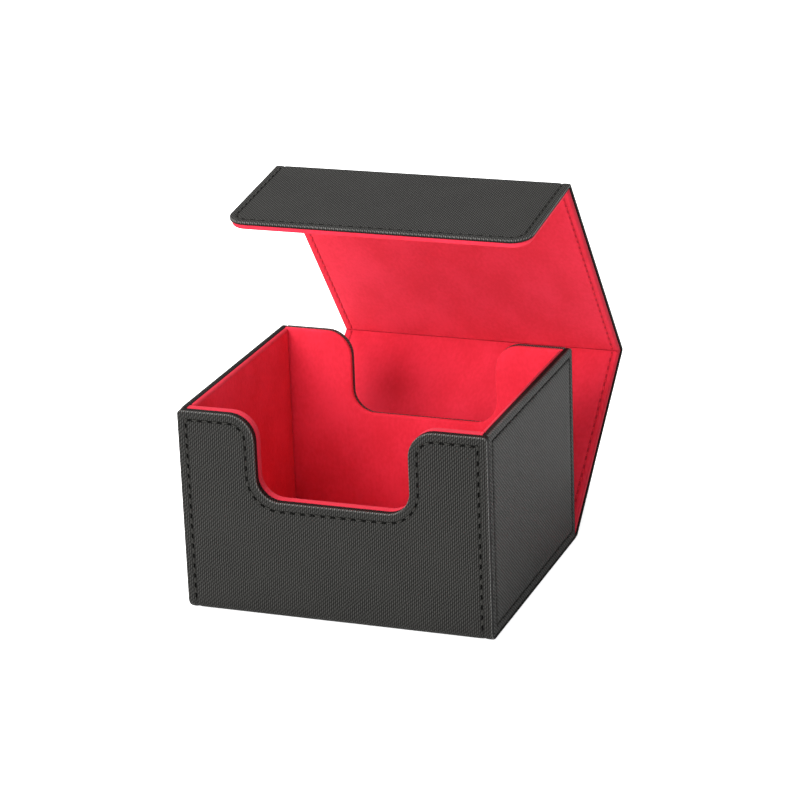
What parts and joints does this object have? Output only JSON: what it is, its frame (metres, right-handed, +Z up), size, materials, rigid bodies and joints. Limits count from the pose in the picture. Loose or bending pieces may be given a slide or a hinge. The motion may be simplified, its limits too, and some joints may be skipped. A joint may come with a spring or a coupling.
{
  "type": "card deck box",
  "caption": "Leatherette box for a stack of trading cards, with U-shaped finger cut-outs and a wrap-round folding lid that a magnetic flap closes at the front.",
  "frame": {"origin": "middle of the tray's underside, on the surface the box stands on", "axes": "+Z up, -Y towards the front panel and its cut-out, +X to the right as seen from the front"},
  "size_m": [0.106, 0.1533, 0.1271],
  "materials": {
    "black_leatherette": "matt charcoal black polyurethane leather with a fine diagonal twill emboss",
    "red_microfibre": "bright red brushed microfibre",
    "core_board": "plain grey board",
    "magnet": "nickel-plated magnet disc",
    "black_thread": "black polyester sewing thread"
  },
  "bodies": {
    "tray": {"front_base_cover": "black_leatherette", "front_panel_board": "core_board", "front_magnets": "magnet", "front_thread": "black_thread", "base_board": "core_board", "front_wall_board": "core_board", "front_wall_lining": "red_microfibre", "back_wall_board": "core_board", "back_wall_cover": "black_leatherette", "back_wall_lining": "red_microfibre", "left_wall_board": "core_board", "left_wall_cover": "black_leatherette", "left_wall_lining": "red_microfibre", "left_wall_thread": "black_thread", "right_wall_board": "core_board", "right_wall_cover": "black_leatherette", "right_wall_lining": "red_microfibre", "right_wall_thread": "black_thread", "floor_board": "core_board", "floor_lining": "red_microfibre", "base_fold": "black_leatherette"},
    "lid_back": {"lid_back_cover": "black_leatherette", "lid_back_board": "core_board", "lid_back_lining": "red_microfibre", "lid_back_thread": "black_thread", "top_fold": "black_leatherette"},
    "lid_top": {"lid_top_cover": "black_leatherette", "lid_top_board": "core_board", "lid_top_lining": "red_microfibre", "lid_top_thread": "black_thread", "flap_fold": "black_leatherette"},
    "flap": {"flap_cover": "black_leatherette", "flap_board": "core_board", "flap_lining": "red_microfibre", "flap_magnets": "magnet", "flap_thread": "black_thread"}
  },
  "joints": [
    {"name": "base_hinge", "type": "hinge", "parent": "tray", "child": "lid_back", "pos_m": [0, 0.0479, 0.0014], "axis": [-1, 0, 0], "range_deg": [-50.5, 39.5]},
    {"name": "top_hinge", "type": "hinge", "parent": "lid_back", "child": "lid_top", "pos_m": [0, 0.10593, 0.04923], "axis": [-1, 0, 0], "range_deg": [-2, 88]},
    {"name": "flap_hinge", "type": "hinge", "parent": "lid_top", "child": "flap", "pos_m": [0, 0.04724, 0.12571], "axis": [-1, 0, 0], "range_deg": [-30, 60]}
  ]
}
